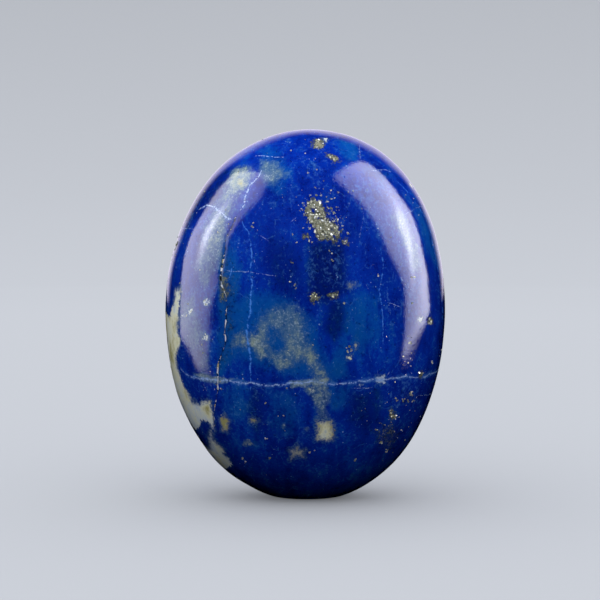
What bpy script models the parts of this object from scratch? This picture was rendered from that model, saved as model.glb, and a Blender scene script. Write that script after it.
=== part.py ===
"""A lapis lazuli tumbled stone, standing upright on the small flat spot at its lower end.

The stone is one solid. It starts as a sphere of even triangles, which a formula stretches to the
pebble's form, and a plane then cuts the flat spot. Lengths are in metres, and +Z is up. The face with
the bright veins looks towards -Y. The origin is on the ground, under the middle of the stone.
"""

import math

import bmesh
import bpy
from mathutils import Vector

# The stone's half sizes, before the flat spot is cut
HALF_WIDTH = 0.01515
HALF_THICKNESS = 0.0105
HALF_HEIGHT = 0.02023

# How much of the lower tip the flat spot takes away
FLAT_SPOT_DEPTH = 0.00045

# Shares by which the form swells past an ellipsoid
CROWN_SWELL = 0.018
END_SWELL = 0.065
FACE_SWELL = 0.1

# How far the long axis leans to the right at the crown, and how far both ends bow to the right
LEAN = 0.00026
BOW = 0.00043

# Four rounds of splitting give 5,120 triangles, with sides of about 1.3 mm
SPHERE_SUBDIVISIONS = 5

# The polished stone as a plain material: a deep ultramarine blue, in linear values
LAPIS_BLUE = (0.006, 0.033, 0.29, 1.0)
POLISHED_ROUGHNESS = 0.15
CREASE_ANGLE = math.radians(30)


def tumbled_form(direction):
    """The point of the surface that one direction from the stone's middle maps to.

    It is an ellipsoid of the three half sizes with four gentle changes. The width swells with the
    square of the height, so both ends are blunt, and a little more at the crown. The thickness swells
    between the face and the rim, so the faces are flatter. The long axis leans, and bows like an arc.
    """
    across, through, along = direction
    end_swell = 1 + CROWN_SWELL * along + END_SWELL * along**2
    face_swell = 1 + FACE_SWELL * (1 - through**2)
    return Vector(
        (
            HALF_WIDTH * across * end_swell + LEAN * along + BOW * along**2,
            HALF_THICKNESS * through * face_swell,
            HALF_HEIGHT * along,
        )
    )


def clear_scene():
    for obj in list(bpy.data.objects):
        bpy.data.objects.remove(obj, do_unlink=True)


def collection_named(name):
    collection = bpy.data.collections.new(name)
    bpy.context.scene.collection.children.link(collection)
    return collection


def plain_material(name, colour, roughness, metallic):
    material = bpy.data.materials.new(name)
    material.use_nodes = True
    surface = material.node_tree.nodes["Principled BSDF"]
    surface.inputs["Base Color"].default_value = colour
    surface.inputs["Roughness"].default_value = roughness
    surface.inputs["Metallic"].default_value = metallic
    return material


def cut_flat_spot(shape):
    """Cuts the lower tip off level, and closes the cut with one flat face."""
    every_part = shape.verts[:] + shape.edges[:] + shape.faces[:]
    cut = bmesh.ops.bisect_plane(
        shape,
        geom=every_part,
        plane_co=(0, 0, FLAT_SPOT_DEPTH - HALF_HEIGHT),
        plane_no=(0, 0, -1),
        clear_outer=True,
    )
    rim = [part for part in cut["geom_cut"] if isinstance(part, bmesh.types.BMEdge)]
    bmesh.ops.edgeloop_fill(shape, edges=rim)


def stand_on_origin(shape):
    """Moves the flat spot to the ground, and the middle of the stone's width over the origin."""
    left = min(vertex.co.x for vertex in shape.verts)
    right = max(vertex.co.x for vertex in shape.verts)
    rise = Vector((-(left + right) / 2, 0, HALF_HEIGHT - FLAT_SPOT_DEPTH))
    bmesh.ops.translate(shape, verts=shape.verts[:], vec=rise)


def make_stone(collection, material):
    shape = bmesh.new()
    bmesh.ops.create_icosphere(shape, subdivisions=SPHERE_SUBDIVISIONS, radius=1.0)
    for vertex in shape.verts:
        vertex.co = tumbled_form(vertex.co.normalized())
    cut_flat_spot(shape)
    stand_on_origin(shape)
    bmesh.ops.recalc_face_normals(shape, faces=shape.faces[:])

    mesh = bpy.data.meshes.new("stone")
    shape.to_mesh(mesh)
    shape.free()
    mesh.materials.append(material)
    mesh.shade_smooth()
    mesh.set_sharp_from_angle(angle=CREASE_ANGLE)
    stone = bpy.data.objects.new("stone", mesh)
    collection.objects.link(stone)
    return stone


clear_scene()
make_stone(
    collection_named("lapis_tumbled_stone"),
    plain_material("polished_lapis", LAPIS_BLUE, POLISHED_ROUGHNESS, 0.0),
)
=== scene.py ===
"""The looks of a lapis lazuli tumbled stone: its polished surface, its veins and its pyrite grains.

The script works in metres, as the frame does, and +Z is up. The stone's marks are a few millimetres or
less, so points and sizes are in mm until a mesh is made. The face with the bright veins looks towards -Y.
"""

import math

import bpy
import numpy as np
from mathutils import Matrix, Vector
from mathutils.bvhtree import BVHTree


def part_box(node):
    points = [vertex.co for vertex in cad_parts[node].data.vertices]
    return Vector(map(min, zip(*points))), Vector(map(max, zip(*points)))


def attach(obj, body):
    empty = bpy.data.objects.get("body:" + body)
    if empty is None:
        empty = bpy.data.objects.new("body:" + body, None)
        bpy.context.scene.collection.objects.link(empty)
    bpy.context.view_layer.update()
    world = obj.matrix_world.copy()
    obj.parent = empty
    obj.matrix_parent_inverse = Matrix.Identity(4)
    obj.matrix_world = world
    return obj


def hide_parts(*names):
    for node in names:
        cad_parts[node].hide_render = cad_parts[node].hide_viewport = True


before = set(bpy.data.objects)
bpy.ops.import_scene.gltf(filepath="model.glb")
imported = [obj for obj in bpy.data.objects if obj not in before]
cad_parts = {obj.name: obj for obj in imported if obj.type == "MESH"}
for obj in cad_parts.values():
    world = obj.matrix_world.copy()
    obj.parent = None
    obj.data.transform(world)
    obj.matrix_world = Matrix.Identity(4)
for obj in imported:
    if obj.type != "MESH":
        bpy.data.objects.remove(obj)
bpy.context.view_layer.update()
MM = 0.001


# The view
# A long lens looks a little down at the stone's face. It comes first, because further down the marks on the
# stone are placed as such a camera sees them, from one side or another.

CAMERA_DISTANCE = 320 * MM
CAMERA_PITCH = math.radians(5.5)
# How wide the picture is where it passes through the stone's middle, and where that middle shows in it
PICTURE_WIDTH = 65.1 * MM
PICTURE_PIXELS = 600
MIDDLE_PIXEL = (305.2, 315.0)
MIDDLE_HEIGHT = 19.9 * MM
STONE_MIDDLE = Vector((0, 0, MIDDLE_HEIGHT))

sight = Vector((0, math.cos(CAMERA_PITCH), -math.sin(CAMERA_PITCH)))
picture_right = Vector((1, 0, 0))
picture_up = picture_right.cross(sight)


def place_camera():
    """Puts the camera so that the stone's middle shows at its pixel, and returns it."""
    pixel = PICTURE_WIDTH / PICTURE_PIXELS
    half = PICTURE_PIXELS / 2
    centre = STONE_MIDDLE + picture_right * (half - MIDDLE_PIXEL[0]) * pixel
    centre += picture_up * (MIDDLE_PIXEL[1] - half) * pixel
    lens = bpy.data.cameras.new("camera")
    lens.lens = lens.sensor_width * CAMERA_DISTANCE / PICTURE_WIDTH
    lens.clip_start = 0.01
    lens.clip_end = 10
    placed = bpy.data.objects.new("camera", lens)
    placed.location = centre - sight * CAMERA_DISTANCE
    placed.rotation_euler = sight.to_track_quat("-Z", "Y").to_euler()
    bpy.context.scene.collection.objects.link(placed)
    bpy.context.scene.camera = placed
    return placed


camera = place_camera()


# The stone
# One piece of rock: blue lazurite with calcite and pyrite grown through it. Days of tumbling with ever finer
# grit rounded it, and the last round with polish gave it its gloss.

# Cells of the stone's mesh across it, through it and along it
CELLS = np.array([136, 80, 176])
# The form of the CAD solid: the flat spot, the lean and the bow in mm, and the swells as shares
FLAT_SPOT_DEPTH = 0.45
FLAT_SPOT_ROUNDING = 0.3
CROWN_SWELL = 0.018
END_SWELL = 0.065
FACE_SWELL = 0.1
LEAN = 0.26
BOW = 0.43
# The waves that tumbling leaves in it: height and length in mm, heading and phase
WAVES = (
    (0.026, 9.1, (0.8, 0.3, 0.5), 0.4),
    (0.020, 7.3, (-0.5, 0.6, 0.7), 2.1),
    (0.013, 5.2, (0.6, 0.7, -0.4), 4.4),
    (0.008, 3.4, (-0.7, 0.2, 0.7), 1.3),
)


def sheet(number):
    """The four-cornered faces of a sheet whose points are numbered in rows and columns."""
    corners = (number[:-1, :-1], number[1:, :-1], number[1:, 1:], number[:-1, 1:])
    return np.stack(corners, axis=-1).reshape(-1, 4)


def box_sphere(cells):
    """Directions from the middle of a box, and the faces that join them.

    The box is ruled into cells along its three sides, at even steps of the angle from its middle, so a
    rule's distance is the tangent of its angle. Every crossing is then pushed out to the unit sphere.
    """
    points = []
    faces = []
    count = 0
    for axis in range(3):
        first = (axis + 1) % 3
        second = (axis + 2) % 3
        rules = np.meshgrid(np.arange(cells[first] + 1), np.arange(cells[second] + 1), indexing="ij")
        for level in (0, cells[axis]):
            side = np.zeros(rules[0].shape + (3,), int)
            side[..., axis] = level
            side[..., first] = rules[0]
            side[..., second] = rules[1]
            number = count + np.arange(rules[0].size).reshape(rules[0].shape)
            count += rules[0].size
            points.append(side.reshape(-1, 3))
            faces.append(sheet(number if level else number[::-1]))
    crossings, number = np.unique(np.concatenate(points), axis=0, return_inverse=True)
    directions = np.tan((crossings / cells - 0.5) * math.pi / 2)
    directions /= np.linalg.norm(directions, axis=1, keepdims=True)
    return directions, number.reshape(-1)[np.concatenate(faces)]


def tumbled_form(directions):
    """Points of the stone, in mm, as the CAD solid has them.

    An ellipsoid whose width swells with the square of the height and a little more at the crown, whose
    thickness swells between face and rim, and whose long axis leans and bows. The flat spot is a smooth
    maximum of the height and the ground.
    """
    low, high = (np.array(corner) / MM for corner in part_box("stone"))
    half = (high - low) / 2
    half[2] += FLAT_SPOT_DEPTH / 2
    across, through, along = directions.T
    x = half[0] * across * (1 + CROWN_SWELL * along + END_SWELL * along**2) + LEAN * along + BOW * along**2
    y = half[1] * through * (1 + FACE_SWELL * (1 - through**2))
    z = half[2] * along + half[2] - FLAT_SPOT_DEPTH
    blend = np.clip(0.5 + z / (2 * FLAT_SPOT_ROUNDING), 0, 1)
    z = z * blend + FLAT_SPOT_ROUNDING * blend * (1 - blend)
    x += (low[0] + high[0]) / 2 - (x.min() + x.max()) / 2
    return np.stack([x, y, z], axis=1)


def undulation(points):
    """How high the waves stand at points, in mm: a sum of sines that cross at odd angles."""
    height = np.zeros(len(points))
    for depth, length, heading, phase in WAVES:
        axis = np.array(heading) / np.linalg.norm(heading)
        height += depth * np.sin(points @ axis * 2 * math.pi / length + phase)
    return height


directions, stone_faces = box_sphere(CELLS)
stone_points = tumbled_form(directions)
outwards = directions / (np.ptp(stone_points, axis=0) / 2)
outwards /= np.linalg.norm(outwards, axis=1, keepdims=True)
# The waves die out over the lowest mm, so that the flat spot stays flat
stone_points += outwards * (undulation(stone_points) * np.clip(stone_points[:, 2], 0, 1))[:, None]
surface = BVHTree.FromPolygons((stone_points * MM).tolist(), stone_faces.tolist())

# Marks on the stone follow lines and outlines, whose points are listed. A mark is given in mm to
# the right of and above the stone's middle, as the camera sees it from one side of the stone.

# In mm: the steps of a line, and how far off a vein and a patch's edge distances are kept
LINE_STEP = 0.2
VEIN_REACH = 0.6
PATCH_REACH = 2.5
LUMP_UNEVENNESS = 0.16
# A line strays from knot to knot: the mm between the knots, and the share of its stray
KNOTS = ((1.3, 1.0), (0.45, 0.6))
# A direction that lies along no axis, from which the side of a normal is worked out
ODD_DIRECTION = (0.3, 0.5, 0.8)
dice = np.random.default_rng(7)


def seen(azimuth, *marks):
    """Points of the stone, in mm, under marks that the camera sees when it is turned about the stone.

    An azimuth of 0 is the face with the bright veins, and 90 the stone's right side. A mark beside the
    stone lands on its edge.
    """
    turn = Matrix.Rotation(math.radians(azimuth), 3, "Z")
    eye = turn @ camera.location
    aims = [turn @ (STONE_MIDDLE + (picture_right * a + picture_up * u) * MM) for a, u in marks]
    hits = [surface.ray_cast(eye, aim - eye)[0] or surface.find_nearest(aim)[0] for aim in aims]
    return np.array(hits).reshape(-1, 3) / MM


def lump(across, up, width, height, turn=0.0, corners=11):
    """Marks round a lump: an ellipse with an uneven radius, turned by some degrees."""
    angles = np.linspace(0, 2 * math.pi, corners, endpoint=False)
    radius = 1 + LUMP_UNEVENNESS * dice.normal(size=corners)
    x = np.cos(angles) * radius * width / 2
    y = np.sin(angles) * radius * height / 2
    c = math.cos(math.radians(turn))
    s = math.sin(math.radians(turn))
    return list(zip(across + x * c - y * s, up + x * s + y * c))


def laid(points, stray, closed=False):
    """A line on the stone through points, and the direction to its left at each of its own points.

    It is cut into even steps, moved by random amounts of about stray mm, once coarsely and once finely,
    and dropped on to the surface.
    """
    if closed:
        points = np.concatenate([points, points[:1]])
    run = np.concatenate([[0], np.cumsum(np.linalg.norm(np.diff(points, axis=0), axis=1))])
    stops = np.arange(0, run[-1], LINE_STEP)
    line = np.stack([np.interp(stops, run, points[:, i]) for i in range(3)], axis=1)
    for knot, share in KNOTS:
        knots = np.arange(0, run[-1] + 2 * knot, knot)
        moves = dice.normal(size=(len(knots), 3)) * stray * share
        line += np.stack([np.interp(stops, knots, moves[:, i]) for i in range(3)], axis=1)
    found = [surface.find_nearest(Vector(point) * MM) for point in line]
    line = np.array([hit[0] for hit in found]) / MM
    normals = np.array([hit[1] for hit in found])
    ahead = np.roll(line, -1, axis=0) - np.roll(line, 1, axis=0) if closed else np.gradient(line, axis=0)
    left = np.cross(normals, ahead)
    return line, left / np.linalg.norm(left, axis=1, keepdims=True)


def measured(line, left, reach):
    """The numbers of the stone's points near a line, and where they lie to it.

    That is, for each of them, the nearest place on the line, the offset to its left and the distance.
    """
    near = (stone_points > line.min(axis=0) - reach) & (stone_points < line.max(axis=0) + reach)
    near = np.flatnonzero(near.all(axis=1))
    points = stone_points[near]
    square = (points**2).sum(axis=1)[:, None] + (line**2).sum(axis=1) - 2 * points @ line.T
    place = square.argmin(axis=1)
    offset = ((points - line[place]) * left[place]).sum(axis=1)
    return near, place, offset, np.sqrt(np.maximum(square.min(axis=1), 0))


def vein_group(*veins, stray=0.05, fade=1.0):
    """For veins that don't meet: every point's offset from the nearest one, and that vein's strength there.

    A vein is its points and its strength, one number or several along it. The strength fades with the
    distance from the vein, and over its last fade mm.
    """
    offsets = np.full(len(stone_points), VEIN_REACH)
    strengths = np.zeros(len(stone_points))
    nearest = np.full(len(stone_points), VEIN_REACH)
    for points, strength in veins:
        line, left = laid(points, stray)
        near, place, offset, distance = measured(line, left, VEIN_REACH)
        closer = distance < nearest[near]
        near, place, offset, distance = near[closer], place[closer], offset[closer], distance[closer]
        nearest[near] = distance
        offsets[near] = offset
        ends = np.minimum(place, len(line) - 1 - place) * LINE_STEP / fade
        given = np.linspace(0, len(line) - 1, np.size(strength))
        along = np.interp(place, given, np.atleast_1d(strength))
        strengths[near] = along * np.clip(ends, 0, 1) * np.clip(2 - 2 * distance / VEIN_REACH, 0, 1)
    return offsets, strengths


def goes_round(arms):
    """Whether arms, complex numbers from a place to the corners of an outline, turn once right round."""
    return np.abs(np.angle(np.roll(arms, -1, axis=1) / arms).sum(axis=1)) > math.pi


def depth_in(outline, stray=0.06):
    """How deep every point lies in an outline, in mm. It is negative outside, down to minus the reach.

    A point is inside if the outline goes round it, as seen along the point's own normal.
    """
    line, left = laid(outline, stray, closed=True)
    near, _, _, distance = measured(line, left, PATCH_REACH)
    side = np.cross(outwards[near], ODD_DIRECTION)
    side /= np.linalg.norm(side, axis=1, keepdims=True)
    arms = 0
    for part, axis in ((1, side), (1j, np.cross(outwards[near], side))):
        arms = arms + part * (axis @ line.T - (axis * stone_points[near]).sum(axis=1)[:, None])
    depth = np.full(len(stone_points), -PATCH_REACH)
    depth[near] = np.where(goes_round(arms), 1, -1) * np.minimum(distance, PATCH_REACH)
    return depth


def soft(edge, strength, azimuth, *marks):
    """A patch with a soft edge: 0 outside its marks, and strength inside, with a step edge mm wide."""
    share = np.clip(0.5 + depth_in(seen(azimuth, *marks)) / edge, 0, 1)
    return strength * share * share * (3 - 2 * share)


def store(piece, name, *columns):
    """Keeps up to three numbers for each point of a piece, for its material to read."""
    values = np.zeros((len(columns[0]), 3))
    values[:, :len(columns)] = np.stack(columns, axis=1)
    attribute = piece.data.attributes.new(name, "FLOAT_VECTOR", "POINT")
    attribute.data.foreach_set("vector", values.reshape(-1))


# The calcite. Its tone is 1 where iron has stained it yellow, 0 where it is cream and -1 where it is nearly
# white. The large patch wraps round the left side, with an island of blue in it.
large_patch = np.concatenate([
    seen(0, (-13.5, 2.8), (-13.7, 1.6), (-13.6, 0.2), (-13.8, -1.6), (-13.6, -3), (-13.8, -4.4),
         (-13.7, -5.8)),
    seen(0, (-13.4, -6.8), (-12.9, -8.1), (-12.3, -9.2), (-11.3, -9.5), (-10.5, -9.3), (-10.1, -10.3)),
    seen(0, (-9.9, -11), (-9.9, -12), (-9.7, -12.8), (-10.1, -12.5), (-10.5, -11.7), (-11, -11.3)),
    seen(0, (-11.4, -12), (-12, -12.3)),
    seen(-90, (1.4, -13), (-1.2, -14), (-3.1, -12.2), (-4.6, -9.5), (-3.6, -6.4)),
    seen(-90, (-4.6, -3.4), (-3.4, -0.6), (-1.4, 0.2), (0.6, -1.2)),
    seen(0, (-14.6, -0.2), (-14.3, 1.2), (-14.1, 2.9)),
])
low_patch = np.concatenate([
    seen(0, (-10.4, -12.4), (-9.9, -13.6), (-9.4, -14.1), (-9, -14.6), (-8.7, -15.2), (-8.2, -15.7)),
    seen(0, (-8, -16.3), (-8.3, -16.8), (-9.2, -16.5)),
    seen(-90, (0.8, -16.6), (-1.6, -15.8), (-0.6, -14.9), (1.6, -15.2)),
    seen(0, (-10.3, -14.6), (-10.6, -13.4)),
])
# Other calcite: its tone, the softness of its edge in mm, the side it is on and the marks round it
CREAM = (
    (0.6, 1.0, 0, ((1.2, -11.5), (3, -11.4), (3.2, -12.3), (3.1, -13.6), (2.3, -13.8), (1.2, -13.6))),
    (0.7, 1.4, 0, ((-0.9, -14.1), (-0.6, -14.6), (0.2, -14.5), (-0.3, -15), (-0.1, -15.5), (-0.9, -15.3),
                   (-1.6, -15.8), (-1.4, -15.1), (-1.8, -14.6), (-1.1, -14.5))),
    (-1.0, 0.3, 0, ((7.7, -6.6), (8.6, -6.6), (8.6, -7.4), (7.7, -7.3))),
    (0.9, 0.9, 0, ((-11.3, -9.2), (-10.4, -9.2), (-9.9, -10.5), (-10.1, -11.4), (-10.9, -11.1),
     (-11.4, -10.2))),
    (1.0, 0.9, 0, ((-9.2, -11.2), (-8.7, -10.7), (-8.2, -11.6), (-8.3, -12.8), (-9.1, -12.7),
     (-9.3, -11.9))),
    (0.2, 0.3, 0, lump(2.3, 19.1, 0.5, 0.5)),
    (1.0, 0.8, 0, lump(-5.6, -11.45, 1.1, 0.7)),
    (0.8, 0.4, 0, lump(9.4, -10.8, 0.5, 1.3, 20)),
    (1.0, 0.9, 0, lump(5, 3.15, 0.7, 0.6)),
    # The next four, nearly white, lie in the left highlight: partly calcite, partly painted glints
    (-0.5, 0.3, 0, lump(-10.8, 1.35, 0.5, 0.7)),
    (-0.5, 0.3, 0, lump(-12.4, 0.4, 0.6, 0.3, 40)),
    (-0.6, 0.3, 0, lump(-13.1, 0, 0.4, 0.2, 20)),
    (-0.6, 0.3, 0, lump(-10.8, -2.5, 0.4, 0.5)),
    (0.4, 0.3, 0, lump(4.8, -4.6, 0.5, 0.6)),
    (0.2, 0.6, 0, lump(5.5, -3.4, 0.5, 0.4)),
    (-1.4, 0.2, 0, lump(6.1, -7.5, 0.3, 0.4)),
    (-0.3, 0.4, 0, lump(12.5, -0.5, 0.6, 0.8)),
    (0.3, 0.8, 0, lump(0.7, -8.2, 0.8, 0.6)),
    (0.3, 1.4, 0, lump(-6.9, 14.4, 1.3, 1, -30)),
    (0.1, 0.5, 180, lump(-8, -8, 4.6, 3.4, 35)),
    (0.4, 0.4, 180, lump(-4.5, -11.5, 1.8, 1.3, -20)),
    (0.7, 0.6, 180, lump(3.5, -13.5, 1.3, 0.9, 15)),
    (0.2, 0.5, 180, lump(8, 12, 1, 0.8, 60)),
    (0.5, 0.4, 180, lump(-2.5, 15.5, 0.7, 1.1, 10)),
    (0.0, 0.5, 180, lump(10.5, 1.5, 0.8, 1.6, -15)),
    (0.6, 0.4, 90, lump(3.5, -12, 1.2, 1.8, 25)),
    (0.3, 0.4, 90, lump(-1.5, 13.5, 0.8, 0.6)),
    (0.2, 0.5, -90, lump(-3.5, 10.5, 0.9, 1.3, 30)),
)
TONE_BLEND = 0.8
ISLAND = seen(-90, (-0.4, -3.2), (0.8, -4.4), (0.6, -6.6), (-0.8, -7.6), (-1.6, -5.4))
calcite_depth = np.maximum(depth_in(large_patch, 0.15), depth_in(low_patch, 0.12))
# The two patches are whiter low down, and their edge is crisp in some places and soft in others
calcite_tone = np.interp(stone_points[:, 2], (9, 16), (-0.3, 0.3))
calcite_edge = 0.9 + 0.6 * np.sin(stone_points @ (0.4, 1.1, 1.6))
for tone, softness, azimuth, marks in CREAM:
    depth = depth_in(seen(azimuth, *marks))
    share = np.clip((depth - np.minimum(calcite_depth, 0)) / TONE_BLEND, 0, 1)
    calcite_tone += share * (tone - calcite_tone)
    calcite_edge[depth > calcite_depth] = softness
    calcite_depth = np.maximum(calcite_depth, depth)
calcite_depth = np.minimum(calcite_depth, -depth_in(ISLAND, 0.15))

# Soft patches. Cloud is fine calcite dust in the blue, and the last of its marks thin it in the middle. Its
# patches in the two highlights are partly painted highlight, pale colour that whitens them. Teal and navy
# are greener and darker blue, stain is the olive that pyrite gives the rock round it, and haze is where pale
# granules are thick in the blue; its patches over the highlights are partly painted highlight texture.
cloud_and_painted_highlight = np.max([
    soft(2.4, 0.9, 0, (-4.8, 0.2), (-3, 1.2), (-0.8, 1.3), (0.1, -1.1), (0.4, -2.7), (1.3, -4), (2.1, -5.5),
         (2.5, -7.3), (0.9, -7.2), (0, -5.4), (-1.9, -5.5), (-3.4, -5.8), (-4.2, -4.8), (-5.2, -3.9),
         (-7.9, -3.4), (-7.9, -2), (-5.8, -1.6)),
    soft(2.0, 1.1, 0, (-2, 0.6), (-0.6, 0.4), (0.2, -2.6), (0.4, -4), (-1, -3), (-1.7, -1)),
    soft(1.4, 1.15, 0, (-6.2, -1.8), (-4.4, -2.1), (-4.3, -3.4), (-3.7, -4.5), (-4.9, -4.9), (-6.3, -3.3)),
    soft(1.2, 1.0, 0, (-3.8, -4.6), (-2.2, -4.3), (-1, -4.6), (-1.4, -5.7), (-3.2, -6)),
    soft(0.8, 1.2, 0, (-12.3, -6.2), (-10.4, -6.5), (-9, -6.8), (-7.6, -7), (-9.2, -7.5), (-11.4, -7.2)),
    soft(0.7, 1.2, 0, (-1.9, -7.1), (0.3, -6.9), (2.6, -6.8), (2.4, -7.7), (0.2, -7.7), (-1.6, -7.9)),
    soft(0.8, 0.9, 0, *lump(-2.4, -12, 0.9, 0.7)),
    soft(0.8, 0.8, 0, *lump(0.1, -12.3, 0.8, 0.6)),
    soft(0.8, 0.9, 0, *lump(-6.3, -13.8, 1.1, 0.9)),
    soft(1.0, 0.9, 0, (-0.6, -7.7), (2.5, -7.5), (2.8, -8.7), (2.3, -10.1), (2.9, -11.4), (1.4, -11.6),
         (1.2, -10.1), (0.3, -8.8)),
    # The next six lie in the highlights: partly calcite dust, partly painted highlight that whitens them
    soft(2.0, 0.95, 0, (-9.9, 12.2), (-8.3, 11.4), (-8.4, 8.1), (-9, 5.8), (-10.3, 4.1), (-11.2, 6),
         (-10.8, 9)),
    soft(2.0, 0.95, 0, (-4.9, 17), (-3, 16.8), (-2.1, 15.1), (-3.4, 13.8), (-4.9, 14.4)),
    soft(2.0, 1.05, 0, (-7.8, 16), (-5.6, 16.2), (-6, 14), (-7.2, 12.8), (-9, 12.6)),
    soft(1.6, 0.65, 0, (-13.5, 1.8), (-12, 2.2), (-11, -1.6), (-10.3, -5), (-9.9, -6.6), (-11.2, -6.5),
         (-11.9, -5.2), (-12.6, -3.9), (-13.2, -2.7), (-13.6, -0.5)),
    soft(1.8, 0.75, 0, (-7.8, 15.2), (-6.1, 16.3), (-5.2, 15.2), (-6.5, 13.7), (-7.7, 11.2), (-9, 8.7),
         (-9, 5.2), (-11, 2.6), (-12.3, 5.4), (-11.2, 9.3), (-9.9, 12)),
    soft(1.8, 0.8, 0, (9.6, 12), (11.2, 10.6), (12.4, 7.6), (12.8, 4.6), (11.6, 4.6), (10.6, 7.8),
         (9.2, 10.6)),
    soft(2.2, 0.9, 180, *lump(1, 6, 11, 8, 25)),
    soft(2.0, 0.9, 180, *lump(-7, -8, 8, 6, 35)),
    soft(1.8, 0.8, 90, *lump(4, -6.5, 6.5, 8, 10)),
    soft(1.6, 0.7, -90, *lump(-1, 5.5, 5, 4.5)),
], axis=0)
cloud_and_painted_highlight *= 1 - soft(1.2, 0.7, 0, (-4, -1.2), (-2.6, -1.8), (-2.2, -3.4), (-3, -4.2), (-4, -3.4))
teal = np.max([
    soft(2.4, 1.1, 0, (-8.3, 1.4), (-5.5, 2.6), (-1.5, 1.9), (0.6, -1), (2.6, -4.5), (3.4, -7.2), (0.5, -7),
         (-2.5, -6.4), (-5, -5.6), (-8.2, -4.2)),
    soft(1.4, 1.1, 0, (-9.5, 8.8), (-8, 8.6), (-7.2, 5), (-7, 0), (-7.8, -4.6), (-9.6, -7), (-9.4, -2),
         (-9.4, 3)),
    soft(1.4, 1.0, 0, (-8.4, 1.6), (-6.3, 1.4), (-6.3, -1.6), (-7.5, -2.3), (-8.4, -0.8)),
    soft(1.4, 1.0, 0, (3.2, -3.8), (4.3, -1.6), (4.9, -4), (4.6, -6.8), (2.7, -7.1), (2.3, -5.5)),
    soft(2.4, 0.9, 0, (4, 2.2), (7.8, 2), (8.2, -2.6), (5.9, -4.5), (4, -1.8)),
    soft(2.2, 0.7, 0, (-4.3, -8), (-0.8, -8.4), (-0.2, -11.8), (-1.6, -13.6), (-3.8, -12)),
    soft(2.2, 0.9, 0, (-8.6, -7.8), (-6, -7.8), (-5.6, -10.4), (-7.6, -11.6), (-8.8, -9.6)),
    soft(1.4, 0.8, 0, (2.1, -7.6), (5.1, -7.5), (4.3, -10.3), (2.7, -10.5)),
    soft(1.0, 1.0, 0, (3.6, 19), (5.7, 18.6), (5.7, 16.7), (4.4, 16.6), (3.6, 17.7)),
    soft(1.4, 0.8, 0, (-5, 18), (-3, 18.4), (-1.6, 15.6), (-2.6, 12.9), (-4.4, 13.6)),
    soft(1.0, 0.7, 0, (5.9, 16.3), (9.4, 15.2), (8.5, 14.4), (6.2, 15.5)),
    soft(2.5, 0.9, 180, *lump(7, 3, 7, 9, 20)),
    soft(2.5, 0.8, 180, *lump(-6, -1, 6, 5, -30)),
    soft(2.0, 0.9, 90, *lump(-2, 7, 6, 9, 15)),
    soft(2.0, 0.8, -90, *lump(-4, -14, 6, 4)),
], axis=0)
navy = np.max([
    soft(2.4, 0.5, 0, (-4, 9), (-0.6, 8.1), (0.1, 4.9), (-0.8, 2.1), (-3.2, 2.7), (-4.7, 5.8)),
    soft(1.8, 1.0, 0, (0.7, 7.9), (4, 7.7), (4.6, 5.1), (4.8, 2.6), (2.6, 1.2), (0.6, 1.6), (0.4, 5.8)),
    soft(1.6, 0.9, 0, (2.7, 1.6), (4.2, 1.4), (4.4, -1.6), (3.1, -3.1), (1.8, -1.6)),
    soft(1.4, 0.7, 0, (-6, -7.5), (-4.7, -8.4), (-4.3, -11.4), (-5.3, -13.6), (-6.4, -10.3)),
    soft(1.8, 0.6, 0, (4.9, -8.4), (8.1, -7.9), (8.5, -11.4), (6.6, -12.7), (4.6, -11.4)),
    soft(2.5, 0.9, 180, *lump(-9, 9, 6, 8, -20)),
    soft(2.5, 0.9, 180, *lump(4, -8, 8, 5, 10)),
    soft(2.0, 0.8, 90, *lump(5.5, 5, 5, 9)),
    soft(2.0, 0.8, -90, *lump(3, 12, 5, 8, -10)),
], axis=0)
stain = np.max([
    soft(1.2, 0.55, 0, (-9.3, 7.6), (-8, 7.2), (-7.4, 3), (-7.6, -1), (-8.2, -4.6), (-9.2, -6), (-9.2, 0)),
    soft(0.9, 1.0, 0, (-9.5, 4.4), (-8.3, 4.2), (-7.9, 2.5), (-8.4, 1.2), (-9.4, 1.6)),
    soft(1.6, 0.7, 0, (7.2, -12.3), (9.4, -11.4), (10.5, -12.9), (9.4, -14.9), (7.7, -14.6)),
    soft(1.0, 0.6, 0, (10.5, -8.1), (11.8, -7.9), (12, -9.4), (10.7, -9.7)),
    soft(1.2, 0.7, 180, *lump(6.3, -3, 5, 5.5, 20)),
    soft(1.0, 0.7, 180, *lump(-9.5, 4, 2.6, 3.4)),
    soft(1.2, 0.6, 90, *lump(1, -1, 2.5, 4.5, 15)),
], axis=0)
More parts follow.
